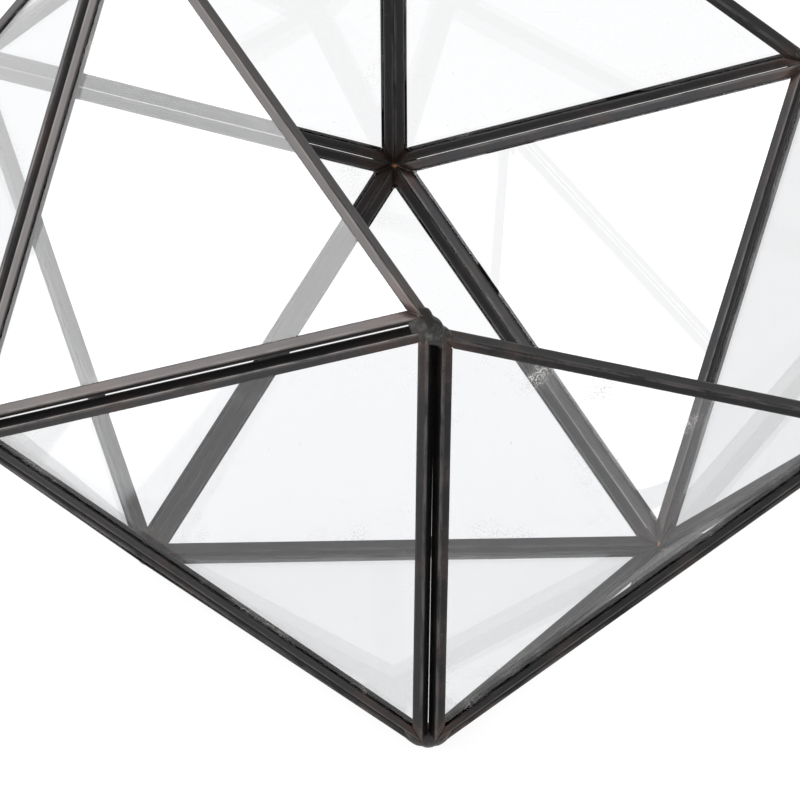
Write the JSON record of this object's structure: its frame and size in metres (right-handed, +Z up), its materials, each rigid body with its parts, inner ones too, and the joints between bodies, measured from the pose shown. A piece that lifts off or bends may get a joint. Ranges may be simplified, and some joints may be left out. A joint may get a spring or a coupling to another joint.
{
  "type": "faceted glass terrarium",
  "caption": "Faceted table terrarium of triangular glass panes held in dark metal channels and soldered at the corners, with a large angled mouth for planting.",
  "frame": {"origin": "on the table under the middle of the terrarium: the centre of the bounding box, at the underside of the bottom pane's channel", "axes": "+Z up; +Y to the back; +X to the right as seen from the front; the mouth opens upwards and towards the front right"},
  "size_m": [0.2493, 0.2836, 0.2324],
  "materials": {
    "black_patina": "black chemical patina on folded brass strip, satin, with brown showing through and worn lighter along the folds",
    "dark_solder": "tin solder darkened by the same patina, smooth and lumpy, satin to shiny, greenish grey on its high spots",
    "clear_glass": "clear, flat and polished, with light dust, a few hair scratches and flux smears beside the channels"
  },
  "bodies": {
    "root": {"channel_bottom": "black_patina", "channel_front_left": "black_patina", "channel_front_right": "black_patina", "channel_lower_left": "black_patina", "channel_lower_right": "black_patina", "channel_lower_back": "black_patina", "channel_left": "black_patina", "channel_right": "black_patina", "channel_back_left": "black_patina", "channel_back_right": "black_patina", "channel_upper_front_left": "black_patina", "channel_upper_left": "black_patina", "channel_upper_back_left": "black_patina", "channel_upper_back_right": "black_patina", "channel_top_left": "black_patina", "glass_bottom": "clear_glass", "glass_front_left": "clear_glass", "glass_front_right": "clear_glass", "glass_lower_left": "clear_glass", "glass_lower_right": "clear_glass", "glass_lower_back": "clear_glass", "glass_left": "clear_glass", "glass_right": "clear_glass", "glass_back_left": "clear_glass", "glass_back_right": "clear_glass", "glass_upper_front_left": "clear_glass", "glass_upper_left": "clear_glass", "glass_upper_back_left": "clear_glass", "glass_upper_back_right": "clear_glass", "glass_top_left": "clear_glass", "solder_base_front": "dark_solder", "solder_base_right": "dark_solder", "solder_base_left": "dark_solder", "solder_waist_back": "dark_solder", "solder_waist_right": "dark_solder", "solder_waist_left": "dark_solder", "solder_shoulder_front": "dark_solder", "solder_shoulder_right": "dark_solder", "solder_shoulder_left": "dark_solder", "solder_crown_back": "dark_solder", "solder_crown_left": "dark_solder"}
  },
  "joints": []
}
